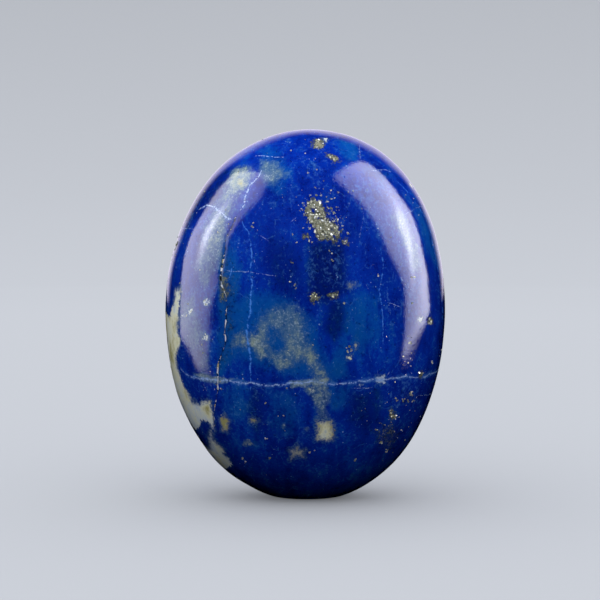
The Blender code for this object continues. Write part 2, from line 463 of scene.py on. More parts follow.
haze_and_painted_highlight = np.max([
    # The first two lie over the two highlights: partly pale granules, partly painted highlight texture
    soft(1.4, 1.6, 0, (4.6, 14.2), (7, 15.4), (10.6, 12), (12.6, 6), (12.4, 0.5), (11, -2), (10.6, 2),
         (9.2, 6.5), (7, 10), (5, 12.6)),
    soft(1.4, 1.4, 0, (-11.6, 10), (-9, 13.6), (-6.4, 15), (-5.4, 13.6), (-7.6, 9.6), (-9.4, 4.6),
         (-12.4, 4.6)),
    soft(1.6, 0.6, 0, (-0.8, 18), (4.6, 17.8), (4.4, 14), (1.4, 13.4), (-0.6, 14.6)),
    soft(1.0, 1.0, 0, (-7.6, 8.4), (-5.8, 8.2), (-5.9, 6.6), (-7.6, 6.9)),
    soft(0.8, 1.2, 0, (2.3, 11.8), (4.2, 10.4), (4.4, 8.6), (3.4, 9.8), (2.2, 10.6)),
    soft(1.4, 0.8, 0, (0.4, 6.6), (4.6, 6.8), (5.2, 2.4), (2.6, 1.6), (0.6, 2.6)),
    soft(1.0, 1.0, 0, (8.6, 2.4), (10.4, 1.8), (9.6, 0.2), (8.4, 0.4)),
    soft(0.9, 1.4, 0, (-12.2, -6.4), (-10.4, -6.5), (-7.6, -6.9), (-7.6, -7.6), (-10.6, -7.5), (-12.2, -7)),
    soft(0.9, 1.2, 0, (-1.8, -7), (1.4, -6.8), (2, -7.8), (0.6, -9), (-0.6, -8.6), (-1.8, -7.9)),
    # This one lies in the left highlight: partly pale granules, partly painted highlight texture
    soft(1.0, 1.2, 0, (-13.2, 3), (-9.6, 3.4), (-9.6, -5.6), (-11.2, -5), (-12.8, -2)),
    soft(1.6, 0.9, 0, (-9, -7.6), (-5, -7.8), (-4, -12.4), (-8, -12.8)),
    soft(1.2, 0.9, 0, (8.6, -7.2), (13, -7), (12.6, -9.6), (9, -10.4)),
    soft(2.0, 0.3, 0, (-3, -11), (1, -12.6), (0, -16.4), (-5, -15.6)),
    soft(2.4, 1.0, 180, *lump(3, 12, 8, 6, -20)),
    soft(2.4, 1.0, 180, *lump(-3, -2, 9, 6, 40)),
    soft(2.0, 1.0, 90, *lump(0, 0, 6, 14, 10)),
    soft(2.0, 1.0, -90, *lump(1, 9, 7, 8, -20)),
], axis=0)

# The veins. The cross vein is a seam of white calcite that runs right round the stone.
cross_vein = vein_group(
    (np.concatenate([
        seen(0, (-13.8, -5.2), (-13.3, -6.1), (-12.5, -6.7), (-10.9, -6.9), (-9.8, -7.1), (-7.4, -7.2)),
        seen(0, (-4.7, -7.5), (-2.4, -7.6), (-1.3, -7.4), (0.8, -7.2), (3.3, -7.5), (5, -7.3), (7.2, -7)),
        seen(0, (9, -7), (10, -6.8), (11.2, -6.7), (12, -6.75), (12.9, -6.7), (13.6, -6.3), (14.4, -6)),
        seen(90, (0, -5.4), (3, -4.8), (5.5, -5.1), (8, -4.2)),
        seen(180, (-12, -4), (-9, -4.7), (-5, -4.1), (-1.5, -5), (3, -5.6), (7, -5.1), (11, -6)),
        seen(-90, (-8, -6.2), (-5.6, -5.8)),
    ]),
         (
        0.6, 1.3, 1.2, 0.9, 1.0, 0.8, 1.1, 0.8, 1.0, 0.7, 0.45, 0.4, 0.45, 0.7, 0.9, 0.6, 1.0, 0.8, 0.9, 0.5,
    )),
)
crack_route = seen(0, (-7.2, 11.3), (-7.6, 10.5), (-7.9, 9.7), (-8.3, 8.9), (-8.5, 8.4), (-8.6, 7.2),
                   (-8.9, 5.9), (-9.2, 4.5), (-9.1, 3.3), (-8.6, 2.1), (-8.5, 1.1), (-8.6, 0), (-8.7, -1.1),
                   (-8.8, -1.8), (-8.6, -2.8), (-8.9, -3.9), (-9.4, -5.1), (-9.6, -6.2), (-9.6, -7.1),
                   (-9.5, -7.9), (-9.6, -9), (-9.8, -10), (-10, -11.3), (-9.6, -12.9))
back_crack_route = seen(180, (-10.5, 12), (-9.8, 8.5), (-9.9, 5), (-8.8, 1.5), (-9.2, -2))
crack = vein_group(
    (crack_route, (0.8, 1.0, 1.0, 1.0, 1.0, 0.9, 0.8, 0.7)),
    (back_crack_route, 0.9),
    (seen(90, (1.8, 4), (1.1, 1.5), (1.3, -1), (0.5, -3.4)), 0.7),
    stray=0.04,
)
blue_veins = vein_group(
    (seen(0, (-7.2, 11.2), (-6.9, 10.5), (-6.7, 9.8), (-6.3, 8.8), (-6.1, 7.8), (-5.8, 6.6), (-5.7, 6),
          (-5.9, 5.6), (-5.9, 2.1), (-5.9, 0.5), (-6.2, -0.8), (-6.3, -1.8), (-6.1, -3.3), (-5.9, -4.9),
          (-5.9, -7.4), (-5.9, -9.2)), (0.6, 0.8, 0.8, 0.9, 1.2, 1.2, 0.8, 0.5)),
    (seen(0, (8, 8.1), (8.4, 6.1), (8.4, 4.9), (8.1, 2.5), (8.3, 1.1), (8.4, -0.3), (8.4, -3.1),
          (8.3, -4.2)),
     (0.3, 0.6, 0.8, 0.8, 0.6, 0.5)),
    (seen(0, (-8.3, 6.3), (-8, 5.3), (-8.2, 4.2), (-8.3, 3.3)), 0.8),
    (seen(180, (-8.5, 16), (-6, 10), (-4.2, 5), (-1, -1.5), (1.5, -8), (2.2, -14)),
     (0.5, 1.0, 0.7, 1.1, 0.6)),
    (seen(180, (9.5, 13), (9, 8), (10, 3.5), (9.4, -1.5)), 0.7),
    (seen(90, (-4, 15), (-2.6, 9), (-3.4, 3), (-2.4, -2.5)), 0.7),
    (seen(90, (4.6, 15), (5, 10), (4, 5.5)), 0.5),
    (seen(-90, (-4.5, 15), (-5, 9), (-3.6, 3.4)), 0.8),
    (seen(-90, (3, 13), (3.4, 8), (2.6, 3.4)), 0.5),
)
hairs = vein_group(
    (seen(0, (-11.6, 11.4), (-10.7, 11.9), (-9.9, 11.7), (-9.5, 11.4), (-9, 11), (-8.6, 10.6), (-7.8, 10.3)),
     (0.9, 1.2, 1.3, 1.0)),
    (seen(0, (-4.7, 15.8), (-5.2, 14.9), (-6, 14.1), (-6.4, 12.9), (-6.5, 12), (-7.2, 11.3)), (0.9, 1.2, 1)),
    (seen(0, (-8.9, 4.9), (-7.4, 4.7), (-5.8, 4.6), (-4.1, 4.4), (-2.7, 4.2)), 0.5),
    (seen(0, (5.9, 18.6), (5.9, 17.6), (5.9, 16.7)), 0.5),
    (seen(0, (7, 15.6), (8, 15.7), (8.7, 15.7), (9.6, 15.4)), 0.6),
    (seen(0, (-5.6, 17.2), (-4.7, 17.3), (-3.3, 17.2), (-2.1, 17.1)), 0.6),
    (seen(0, (-1.8, 9.9), (-1.3, 10.3), (-0.8, 10.7)), 0.5),
    (seen(0, (-3.6, 12.9), (-3.1, 12.4)), 0.4),
    (seen(0, (-5.3, 8.7), (-4.5, 8.4), (-3.8, 7.9)), 0.4),
    (seen(0, (6.2, 11.8), (6.3, 10.5), (5.8, 7.9)), 0.35),
    (seen(0, (6.65, 3.3), (6.75, 2.95), (7.1, 2.75)), 1.0),
    (seen(0, (8.9, 1.4), (9.9, 1.1), (10.7, 0.8)), 0.5),
    (seen(0, (10.3, 4.3), (10.8, 3.3), (11.6, 2.7), (12.2, 2.5)), 0.6),
    (seen(0, (5, -7.95), (6.4, -7.9), (7.6, -7.8)), 0.5),
    (seen(0, (8.1, -6.6), (7.9, -6.3), (7.8, -5.8)), 0.6),
    (seen(0, (8.8, -6.7), (9.1, -6.3), (9.2, -5.8)), 0.7),
    (seen(0, (11.6, -6.8), (11.5, -6.3), (11.2, -5.9)), 0.6),
    (seen(0, (-11.1, -7.2), (-10.8, -7.9), (-10.5, -8.7)), 0.6),
    (seen(0, (-3, -14.7), (-3.6, -14.5)), 1.0),
    (seen(0, (-5.7, 6.3), (-5.3, 5.3)), 0.5),
    (seen(180, (-13, 2.5), (-8, 3.2), (-3, 2.4), (2, 3.4)), 0.6),
    (seen(180, (4, 15), (6.5, 12.5), (7.2, 9.5)), 0.7),
    (seen(180, (5, -11), (8, -9.5), (10.5, -10)), 0.6),
    (seen(180, (-3, 11.5), (0.5, 12.4), (3.5, 11.8)), 0.5),
    (seen(90, (-5.5, -9.5), (-1, -10.2), (3, -9.2)), 0.6),
    (seen(90, (-6, 10.5), (-1, 11.2), (4, 10.4)), 0.5),
    (seen(-90, (-6, 8.5), (-1, 8), (5, 8.8)), 0.6),
    stray=0.04,
    fade=0.4,
)

# The beds of pyrite, which the grains further down fill: the side each bed is on, the marks round it, and
# those round the bare holes in it
BEDS = (
    (0, ((0.3, 12.2), (0.8, 12.6), (1.4, 12.5), (1.8, 12.1), (2, 11.3), (2.2, 10.6), (2.6, 10.1), (3.1, 9.8),
         (3.6, 9.7), (3.8, 9), (3.6, 8.3), (3.1, 7.9), (2.6, 8.3), (2, 8.2), (1.5, 8.2), (1.1, 8.8),
         (0.9, 9.5), (0.4, 10.3), (0.1, 10.9), (0, 11.6)),
     (lump(0.95, 11.3, 0.6, 0.8, corners=7), lump(1.5, 10.5, 0.35, 0.3, corners=7),
      lump(2.1, 8.9, 0.25, 0.3, corners=7), lump(3.15, 8.4, 0.55, 0.4, corners=7),
      lump(2.95, 9.3, 0.3, 0.3, corners=7))),
    (0, lump(1, 1.9, 0.85, 0.9), ()),
    (0, lump(0.15, 8.6, 0.6, 0.6), ()),
    (0, lump(4.35, 7.95, 0.55, 0.6), ()),
    (0, ((2.6, 2.3), (3, 2.15), (3.6, 2.4), (3.6, 2.1), (3.1, 1.8)), ()),
    (0, lump(13.5, -0.7, 0.5, 0.7), ()),
    (0, lump(12.6, -6.5, 0.45, 0.7, -20), ()),
    (0, lump(9.4, -10.8, 0.4, 0.9, 20), ()),
    (0, ((0.9, 18.8), (1.5, 19.2), (1.9, 18.9), (2, 18.2), (1.4, 18), (1, 18.1)), ()),
    (0, ((2.3, 17.6), (2.6, 17.5), (3.6, 17), (3.7, 16.7), (3.2, 16.7), (2.6, 17.1)), ()),
    (180, lump(6.5, -3, 3.4, 4.4, 20, 15), (lump(6.2, -3.4, 0.7, 0.6, corners=7),)),
    (180, lump(-9.6, 4.2, 1.2, 2, -15), ()),
    (180, lump(-1.5, 14, 1.6, 1, 30), ()),
    (90, lump(1.2, 0.4, 1.3, 2.4, 15), ()),
    (-90, lump(1.5, 6.5, 1.2, 0.8, 40), ()),
)
bed_depth = np.full(len(stone_points), -PATCH_REACH)
for azimuth, marks, holes in BEDS:
    depth = depth_in(seen(azimuth, *marks))
    for hole in holes:
        depth = np.minimum(depth, -depth_in(seen(azimuth, *hole)))
    bed_depth = np.maximum(bed_depth, depth)

# The relief. Calcite is softer than the blue, so polishing leaves it a little lower, and the crack and the
# beds of the pyrite are worn below the surface.
CALCITE_DROP = 0.012
CRACK_DROP = 0.015
CRACK_HALF_WIDTH = 0.16
BED_DROP = 0.02
STEP_WIDTH = 0.3
relief = CALCITE_DROP * np.clip(0.5 + calcite_depth / STEP_WIDTH, 0, 1)
relief += CRACK_DROP * crack[1] * np.exp(-((crack[0] / CRACK_HALF_WIDTH) ** 2))
relief += BED_DROP * np.clip(0.5 + bed_depth / STEP_WIDTH, 0, 1)
stone_points -= outwards * relief[:, None]


def mesh_object(name, points, faces, smooth=True):
    """An object of its points in mm and its faces."""
    mesh = bpy.data.meshes.new(name)
    mesh.from_pydata((points * MM).tolist(), [], faces)
    if smooth:
        mesh.shade_smooth()
    piece = bpy.data.objects.new(name, mesh)
    bpy.context.scene.collection.objects.link(piece)
    return piece


stone = mesh_object("tumbled_stone", stone_points, stone_faces.tolist())
store(stone, "calcite", calcite_depth, calcite_tone, calcite_edge)
store(stone, "clouds_and_painted_highlight", cloud_and_painted_highlight, teal, navy)
store(stone, "pyrite_bed", bed_depth, stain, haze_and_painted_highlight)
store(stone, "cross_vein", *cross_vein)
store(stone, "crack", *crack)
store(stone, "blue_veins", *blue_veins)
store(stone, "hairs", *hairs)


def linear(colour):
    """A colour written as sRGB hex, turned linear, with full cover."""
    parts = [int(colour[i:i + 2], 16) / 255 for i in (1, 3, 5)]
    return tuple(((p + 0.055) / 1.055) ** 2.4 if p > 0.04045 else p / 12.92 for p in parts) + (1.0,)


def new_material(name):
    """A material whose node tree is still empty, and that tree."""
    material = bpy.data.materials.new(name)
    material.use_nodes = True
    material.node_tree.nodes.clear()
    return material, material.node_tree


def add(tree, kind, links=None, **settings):
    """Adds a node of a kind with its settings. links gives inputs, by name or number, a value or a node."""
    node = tree.nodes.new("ShaderNode" + kind)
    for name, value in settings.items():
        setattr(node, name, value)
    for key, value in (links or {}).items():
        live = [socket for socket in node.inputs if socket.enabled]
        socket = live[key] if isinstance(key, int) else next(s for s in live if s.name == key)
        if isinstance(value, bpy.types.Node):
            value = next(output for output in value.outputs if output.enabled)
        if isinstance(value, bpy.types.NodeSocket):
            tree.links.new(value, socket)
        else:
            socket.default_value = value
    return node


# Sizes in mm of what polished lapis shows: blotches, mottles that stand upright, granules, the grain of the
# rock, faint threads, bright specks, the crack's dashes and pits in the gloss. The grain is drawn about
# twice as coarse as it is, so that it shows.
BLOTCH = 4.6
MOTTLE = 1.2
GRANULE = 0.4
GRAIN = 0.2
THREAD_SPACING = 3.0
SPECK_SPACING = 0.5
SPECK_WIDTH = 0.15
DASH = 0.3
PIT_SPACING = 1.3
DEEP_BLUE = "#021c86"
ULTRAMARINE = "#0432ac"
BRIGHT_BLUE = "#0c5ac8"
TEAL_BLUE = "#0a5fac"
NAVY_BLUE = "#02124e"
GRANULE_BLUE = "#5088d4"
DARK_GRANULE = "#02113c"
THREAD_BLUE = "#3f7ee0"
PALE_SPECK = "#86abe4"


def colour_stops(ramp, *stops):
    """Gives a colour ramp its stops from first to last: their places and sRGB hex colours."""
    elements = ramp.color_ramp.elements
    for element, (place, colour) in zip(elements, (stops[0], stops[-1])):
        element.position = place
        element.color = linear(colour)
    for place, colour in stops[1:-1]:
        elements.new(place).color = linear(colour)


def overlay(tree, colour, *layers):
    """Lays colours over a colour.

    A layer is a value, the lowest value at which it shows, the one from which it shows fully, how much it
    covers then, and its tint, which is sRGB hex or a node.
    """
    for value, low, high, most, tint in layers:
        share = {"Value": value, "From Min": low, "From Max": high, "To Max": most}
        share = add(tree, "MapRange", share, interpolation_type="SMOOTHSTEP")
        tint = linear(tint) if isinstance(tint, str) else tint
        colour = add(tree, "Mix", {"Factor": share, "A": colour, "B": tint}, data_type="RGBA")
    return colour


def weigh(tree, *terms):
    """The sum of values times their weights, given in turn."""
    total = 0.0
    for value, weight in zip(terms[::2], terms[1::2]):
        total = add(tree, "Math", {0: value, 1: weight, 2: total}, operation="MULTIPLY_ADD")
    return total


def stored(tree, name):
    """The three numbers that a piece stores under a name."""
    values = add(tree, "Attribute", attribute_name=name)
    return add(tree, "SeparateXYZ", {"Vector": values.outputs["Vector"]}).outputs


def lazurite(tree, place, noises):
    """The blue: blotches, mottles, granules and grain add up to one shade, coloured from deep to bright.

    Over it go the greener and darker patches, pale and dark granules, faint threads, and specks in the
    middles of cells.
    """
    blotches, mottles, granules, grain = noises
    _, teal, navy = stored(tree, "clouds_and_painted_highlight")
    _, stain, haze_and_painted_highlight = stored(tree, "pyrite_bed")
    shade = weigh(tree, blotches, 1.0, mottles, 0.8, granules, 0.35, grain, 0.3)
    shade = add(tree, "MapRange", {"Value": shade, "From Min": 0.95, "From Max": 1.62})
    colour = add(tree, "ValToRGB", {"Fac": shade})
    colour_stops(colour, (0, DEEP_BLUE), (0.5, ULTRAMARINE), (1, BRIGHT_BLUE))
    # Dark granules read the noise elsewhere, so that they don't follow the pale ones
    elsewhere = add(tree, "Mapping", {"Vector": place, "Location": (31, 17, 53)})
    dark = {"Vector": elsewhere, "Scale": 1 / GRANULE, "Detail": 4, "Roughness": 0.6}
    dark = add(tree, "TexNoise", dark)
    colour = overlay(
        tree, colour,
        (weigh(tree, teal, 1.0, mottles, 2.2, granules, 0.9), 1.5, 2.9, 0.7, TEAL_BLUE),
        (weigh(tree, navy, 1.0, mottles, 2.0, granules, 0.8), 1.3, 2.6, 0.7, NAVY_BLUE),
        # Pale granules; where haze lies over the highlights they are partly painted highlight texture
        (weigh(tree, haze_and_painted_highlight, 0.1, granules, 1.0, mottles, 0.6), 0.86, 1.18, 0.42, GRANULE_BLUE),
        (weigh(tree, navy, 0.04, stain, 0.14, dark, 1.0), 0.55, 0.75, 0.55, DARK_GRANULE),
    )
    bent = place
    for noise, bend in ((blotches, 2.2), (mottles, 0.8)):
        bent = {0: noise.outputs["Color"], 1: (bend, bend, bend), 2: bent}
        bent = add(tree, "VectorMath", bent, operation="MULTIPLY_ADD")
    threads = {"Vector": bent, "Scale": 1 / THREAD_SPACING}
    threads = add(tree, "TexVoronoi", threads, feature="DISTANCE_TO_EDGE")
    shown = add(tree, "MapRange", {"Value": dark, "From Min": 0.45, "From Max": 0.62, "To Max": 0.03})
    threads = add(tree, "Math", {0: shown, 1: threads}, operation="SUBTRACT")
    cells = add(tree, "TexVoronoi", {"Vector": place, "Scale": 1 / SPECK_SPACING})
    luck = add(tree, "SeparateColor", {"Color": cells.outputs["Color"]}).outputs["Red"]
    specks = weigh(tree, cells.outputs["Distance"], -1.0, luck, 0.16, mottles, 0.5, haze_and_painted_highlight, 0.02)
    return overlay(
        tree, colour,
        (threads, 0.0, 0.025, 0.3, THREAD_BLUE),
        (specks, 0.26, 0.26 + SPECK_WIDTH * 0.6, 0.6, PALE_SPECK),
    )


def seam(tree, name, wander, beads, width, raggedness):
    """How much a group of veins shows: 1 in its middle, and 0 past about its width times its strength.

    The wander noise bends it, the more the larger its raggedness in mm is, and the beads noise swells,
    thins and dims it.
    """
    offset, strength, _ = stored(tree, name)
    shift = add(tree, "Math", {0: wander, 1: 0.5}, operation="SUBTRACT")
    offset = add(tree, "Math", {0: weigh(tree, offset, 1.0, shift, raggedness)}, operation="ABSOLUTE")
    limit = {"Value": beads, "From Min": 0.32, "From Max": 0.7, "To Min": width / 3, "To Max": width * 1.5}
    limit = add(tree, "Math", {0: strength, 1: add(tree, "MapRange", limit)}, operation="MULTIPLY")
    line = add(tree, "MapRange", {"Value": offset, "From Min": limit, "From Max": 0})
    bright = add(tree, "MapRange", {"Value": beads, "From Min": 0.4, "From Max": 0.6, "To Min": 0.1})
    line = add(tree, "Math", {0: bright, 1: line}, operation="MULTIPLY")
    return add(tree, "Math", {0: strength, 1: line}, operation="MULTIPLY", use_clamp=True)


def dust_and_painted_highlight(tree, colour, noises):
    """Calcite dust in the blue: a grey-blue haze, in it grey grains, densest spots of cream, and flecks."""
    blotches, mottles, granules, grain = noises
    cloud_and_painted_highlight, _, _ = stored(tree, "clouds_and_painted_highlight")
    # In the highlights this pale colour is partly painted highlight as well as calcite dust
    thin = weigh(tree, cloud_and_painted_highlight, 1.0, mottles, 1.1, granules, 0.7)
    fine = weigh(tree, cloud_and_painted_highlight, 1.0, mottles, 1.5, granules, 1.2, grain, 0.5)
    return overlay(
        tree, colour,
        (thin, 1.1, 2.1, 0.84, "#43708f"),
        (fine, 1.95, 3.5, 0.85, "#8095a8"),
        (weigh(tree, fine, 1.0, blotches, 1.6), 3.15, 4.2, 0.85, "#b0bc98"),
        (weigh(tree, cloud_and_painted_highlight, 0.5, grain, 1.6, granules, 0.8), 1.75, 2.05, 0.4, "#a9bfe2"),
    )


def light_veins(tree, colour, noises):
    """Pale blue threads: a soft seam, and a finer and brighter one in it."""
    _, mottles, granules, grain = noises
    return overlay(
        tree, colour,
        (seam(tree, "blue_veins", mottles, granules, 0.4, 0.3), 0, 1, 0.35, "#1a62dc"),
        (seam(tree, "blue_veins", mottles, granules, 0.13, 0.3), 0, 0.7, 0.8, "#4f94f2"),
        (seam(tree, "hairs", granules, grain, 0.3, 0.2), 0, 1, 0.25, "#6f9fe6"),
        (seam(tree, "hairs", granules, grain, 0.1, 0.2), 0, 0.7, 0.85, "#bcd3f6"),
    )


def calcite_share(tree, noises):
    """How much calcite shows, from 0 to 1, and its ragged depth and softness."""
    _, mottles, granules, grain = noises
    depth, _, softness = stored(tree, "calcite")
    ragged = weigh(tree, depth, 1.0, mottles, 0.5, granules, 0.9, grain, 0.5)
    inner = weigh(tree, softness, 0.7, 0.95, 1.0)
    outer = weigh(tree, softness, -0.25, 0.95, 1.0)
    share = {"Value": ragged, "From Min": outer, "From Max": inner}
    return add(tree, "MapRange", share, interpolation_type="SMOOTHSTEP"), ragged, softness


def calcite(tree, colour, noises):
    """Calcite: grey-white, cream and yellow, with wisps and a fringe of grey-blue where it thins out."""
    blotches, mottles, granules, _ = noises
    share, ragged, softness = calcite_share(tree, noises)
    tone = weigh(tree, stored(tree, "calcite")[1], 1.0, blotches, 2.4, mottles, 2.8, granules, 1.0)
    cream = add(tree, "MapRange", {"Value": tone, "From Min": 2.2, "From Max": 4.1})
    cream = add(tree, "ValToRGB", {"Fac": cream})
    colour_stops(cream, (0, "#c6d8f2"), (0.4, "#eaf2ea"), (0.66, "#f4f4d2"), (1, "#bcb672"))
    wisps = weigh(tree, share, 1.0, blotches, -0.8, mottles, -1.0, granules, -0.7)
    return overlay(
        tree, colour,
        (weigh(tree, ragged, 1.0, softness, 0.1), 0.6, 1.0, 0.4, "#4a7494"),
        (share, 0, 1, 0.97, cream),
        (wisps, -0.15, 0.15, 0.5, "#7391ac"),
        (weigh(tree, share, 1.0, granules, -2.0), 0.25, 0.45, 0.5, "#54626a"),
    )


def white_seam(tree, colour, noises):
    """The cross vein: a hazy seam with a bright beaded thread in it."""
    _, mottles, granules, grain = noises
    return overlay(
        tree, colour,
        (seam(tree, "cross_vein", granules, mottles, 0.8, 0.5), 0, 1, 0.5, "#3f78cc"),
        (seam(tree, "cross_vein", mottles, granules, 0.26, 0.5), 0, 0.9, 0.75, "#6d9ae4"),
        (seam(tree, "cross_vein", mottles, grain, 0.1, 0.5), 0, 0.8, 0.65, "#b8d2fa"),
    )


def pyrite_stains(tree, colour, noises):
    """The olive stains that pyrite gives the rock, and the dull floor of its beds."""
    _, mottles, granules, grain = noises
    bed, stain, _ = stored(tree, "pyrite_bed")
    return overlay(
        tree, colour,
        (weigh(tree, stain, 1.0, mottles, 0.9, granules, 1.2), 1.35, 2.4, 0.6, "#3c5a4c"),
        (weigh(tree, stain, 1.0, mottles, 0.9, grain, 1.6), 1.95, 2.6, 0.75, "#8f8b52"),
        (weigh(tree, bed, 1.0, granules, 1.2, grain, 0.7), 0.7, 1.0, 0.85, "#4c5240"),
        (weigh(tree, bed, 1.6, granules, 1.0, grain, 1.8), 1.5, 1.8, 0.8, "#9a987c"),
    )


def crack_line(tree, colour, place, noises):
    """The crack: a dull seam, and in it dashes, black, white or gold by chance; white ones are painted
    glints.
    """
    _, mottles, granules, _ = noises
    cells = add(tree, "TexVoronoi", {"Vector": place, "Scale": 1 / DASH})
    luck = add(tree, "SeparateColor", {"Color": cells.outputs["Color"]}).outputs
    dashes_and_glints = add(tree, "ValToRGB", {"Fac": luck["Red"]})
    dashes_and_glints.color_ramp.interpolation = "CONSTANT"
    # White stands for pyrite catching the light, a painted glint; black and gold are the crack's own colours
    colour_stops(dashes_and_glints, (0, "#04070f"), (0.28, "#e9eef6"), (0.9, "#c8b678"))
    shown = add(tree, "MapRange", {"Value": luck["Green"], "From Min": 0.15, "From Max": 0.35})
    thread = seam(tree, "crack", mottles, mottles, 0.13, 0.3)
    thread = add(tree, "Math", {0: thread, 1: shown}, operation="MULTIPLY")
    return overlay(
        tree, colour,
        (seam(tree, "crack", granules, mottles, 0.5, 0.4), 0, 1, 0.6, "#16384f"),
        (seam(tree, "crack", mottles, granules, 0.16, 0.3), 0, 0.7, 0.7, "#0b1424"),
        (thread, 0.05, 0.35, 0.9, dashes_and_glints),
    )


def gloss(tree, place, noises):
    """The polish: calcite takes less of it, and the rock's grain and a few pits show in the gloss."""
    _, mottles, granules, grain = noises
    share, _, _ = calcite_share(tree, noises)
    roughness = weigh(tree, share, 0.12, granules, 0.09)
    roughness = add(tree, "Math", {0: roughness, 1: 0.02}, operation="ADD")
    pits = add(tree, "TexVoronoi", {"Vector": place, "Scale": 1 / PIT_SPACING})
    pits = add(tree, "MapRange", {"Value": pits, "From Min": 0.07, "From Max": 0.02, "To Max": -0.012})
    height = weigh(tree, grain, 0.003, granules, 0.007, mottles, 0.006, pits, 1.0)
    return roughness, add(tree, "Bump", {"Height": height, "Strength": 1.0, "Distance": MM})


def polished_lapis():
    """Lapis lazuli with a tumbled polish: a clear gloss over blue rock whose colour is matt and grainy."""
    material, tree = new_material("polished_lapis")
    place = add(tree, "TexCoord").outputs["Object"]
    place = add(tree, "Mapping", {"Vector": place, "Scale": (1 / MM, 1 / MM, 1 / MM)})
    upright = add(tree, "Mapping", {"Vector": place, "Scale": (1, 1, 0.5)})
    noises = []
    for where, size, detail in (
        (upright, BLOTCH, 4),
        (upright, MOTTLE, 5),
        (place, GRANULE, 4),
        (place, GRAIN, 2),
    ):
        noise = {"Vector": where, "Scale": 1 / size, "Detail": detail, "Roughness": 0.62}
        noises.append(add(tree, "TexNoise", noise))
    colour = lazurite(tree, place, noises)
    for layer in (dust_and_painted_highlight, light_veins, calcite, white_seam, pyrite_stains):
        colour = layer(tree, colour, noises)
    colour = crack_line(tree, colour, place, noises)
    roughness, bump = gloss(tree, place, noises)
    surface = {"Base Color": colour, "Roughness": roughness, "IOR": 1.5, "Normal": bump}
    surface = add(tree, "BsdfPrincipled", surface)
    add(tree, "OutputMaterial", {"Surface": surface})
    return material


stone.data.materials.append(polished_lapis())
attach(stone, "root")
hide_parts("stone")


# The pyrite grains
# Grains of fool's gold that grew in the rock, singly, in beds and along the crack. Tumbling cut them nearly
# flush, and they stand a few hundredths of a millimetre proud because they are harder than the rock.

GRAIN_CORNERS = 7
# How deep a grain reaches below the rock's surface and how far it stands above it, in mm, and how wide its
# top is as a share of its foot
GRAIN_ROOT = 0.07
GRAIN_RISE = 0.03
GRAIN_TOP = 0.72
# Shares by which corners stray and grains are longer than wide, and how a top tilts: about ten degrees
GRAIN_UNEVENNESS = 0.2
GRAIN_STRETCH = 0.5
GRAIN_TILT = 0.18
# In a bed: the spacing of its grains in mm, the share of that by which one lies off its place, how ragged
# the bed's edge is in mm, and the share of places that hold a grain
GRAIN_SPACING = 0.2
BED_JITTER = 0.25
BED_RAGGEDNESS = 0.06
BED_FILLING = 0.85
# The share of the crack's steps that hold a grain
CRACK_FILLING = 0.15
surface = BVHTree.FromPolygons((stone_points * MM).tolist(), stone_faces.tolist())


def inside(points, marks):
    """Which flat points lie inside the marks."""
    arms = np.array(marks)[None] - points[:, None]
    return goes_round(arms[..., 0] + 1j * arms[..., 1])


def bed_of_grains(azimuth, marks, holes):
    """Middles of the grains that fill a bed: a staggered lattice, each point moved a little."""
    low = np.min(marks, axis=0)
    high = np.max(marks, axis=0)
    across, up = np.meshgrid(*(np.arange(low[i], high[i], GRAIN_SPACING) for i in (0, 1)))
    across[::2] += GRAIN_SPACING / 2
    points = np.stack([across.reshape(-1), up.reshape(-1)], axis=1)
    points += dice.normal(size=points.shape) * GRAIN_SPACING * BED_JITTER
    kept = inside(points + dice.normal(size=points.shape) * BED_RAGGEDNESS, marks)
    kept &= dice.random(len(points)) < BED_FILLING
    for hole in holes:
        kept &= ~inside(points, hole)
    return seen(azimuth, *points[kept])


